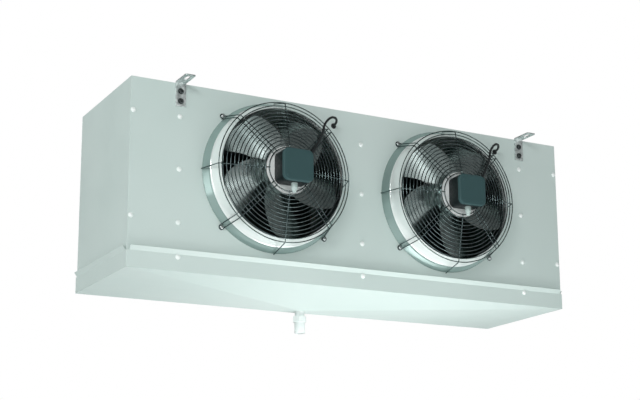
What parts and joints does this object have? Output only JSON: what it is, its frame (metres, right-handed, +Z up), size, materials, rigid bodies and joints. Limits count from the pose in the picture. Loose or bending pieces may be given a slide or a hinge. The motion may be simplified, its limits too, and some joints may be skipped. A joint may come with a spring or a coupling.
{
  "type": "walk-in unit cooler",
  "caption": "Ceiling-hung cold room cooler with a painted sheet casing, finned coil, guarded axial fans and a hinged drip tray.",
  "frame": {"origin": "centre of the hanging plane, which the top faces of the four hangers share", "axes": "+X to the right end seen from the air outlet, the fans blow towards -Y, +Z up"},
  "size_m": [1.421, 0.628, 0.627],
  "materials": {
    "painted_sheet": "satin powder coat",
    "galvanised_steel": "galvanised",
    "white_screw": "painted round head",
    "plated_bolt": "zinc plated",
    "fin_aluminium": "mill finish",
    "copper": "drawn copper",
    "brass": "turned",
    "black_rubber": "matt",
    "white_plastic": "moulded",
    "guard_wire": "dark bright wire",
    "motor_aluminium": "die cast",
    "bearing_steel": "ground",
    "blade_aluminium": "rolled sheet",
    "terminal_plastic": "moulded",
    "gland_nylon": "moulded",
    "cable_sheath": "smooth sheath"
  },
  "bodies": {
    "casing": {"front_panel": "painted_sheet", "left_air_collar": "painted_sheet", "right_air_collar": "painted_sheet", "top_panel": "painted_sheet", "left_end_cover": "painted_sheet", "right_end_cover": "painted_sheet", "left_tube_sheet": "galvanised_steel", "centre_tube_sheet": "galvanised_steel", "right_tube_sheet": "galvanised_steel", "rear_rail": "galvanised_steel", "front_left_hanger": "galvanised_steel", "front_right_hanger": "galvanised_steel", "rear_left_hanger": "galvanised_steel", "rear_right_hanger": "galvanised_steel", "tray_hinge_brackets": "galvanised_steel", "panel_screws": "white_screw", "front_hanger_bolts": "plated_bolt", "rear_hanger_bolts": "plated_bolt", "left_guard_screws": "plated_bolt", "right_guard_screws": "plated_bolt", "tray_hinge_pins": "plated_bolt", "left_fin_pack": "fin_aluminium", "right_fin_pack": "fin_aluminium", "coil_tubes": "copper", "left_return_bends": "copper", "right_return_bends": "copper", "suction_header": "copper", "inlet_stubs": "copper", "capillary_tubes": "copper", "liquid_distributor": "brass", "pipe_grommets": "black_rubber", "left_cable_grommet": "black_rubber", "right_cable_grommet": "black_rubber", "left_fan_guard": "guard_wire", "right_fan_guard": "guard_wire", "left_motor_stator": "motor_aluminium", "right_motor_stator": "motor_aluminium", "left_motor_bearings": "bearing_steel", "right_motor_bearings": "bearing_steel", "left_terminal_box": "terminal_plastic", "right_terminal_box": "terminal_plastic", "left_cable_gland": "gland_nylon", "right_cable_gland": "gland_nylon", "left_motor_cable": "cable_sheath", "right_motor_cable": "cable_sheath"},
    "drip_tray": {"drip_tray": "painted_sheet", "tray_rim": "painted_sheet", "tray_screws": "white_screw", "drain_tail": "white_plastic", "drain_collar": "white_plastic", "drain_washer": "black_rubber", "drain_nut": "white_plastic"},
    "left_fan": {"left_impeller": "blade_aluminium", "left_motor_rotor": "motor_aluminium"},
    "right_fan": {"right_impeller": "blade_aluminium", "right_motor_rotor": "motor_aluminium"}
  },
  "joints": [
    {"name": "left_fan_spin", "type": "hinge", "parent": "casing", "child": "left_fan", "pos_m": [-0.28, -0.23, -0.235], "axis": [0, -1, 0], "continuous": true},
    {"name": "right_fan_spin", "type": "hinge", "parent": "casing", "child": "right_fan", "pos_m": [0.28, -0.23, -0.235], "axis": [0, -1, 0], "continuous": true},
    {"name": "tray_swing", "type": "hinge", "parent": "casing", "child": "drip_tray", "pos_m": [0, 0.206, -0.474], "axis": [1, 0, 0], "range_deg": [0, 80]}
  ]
}
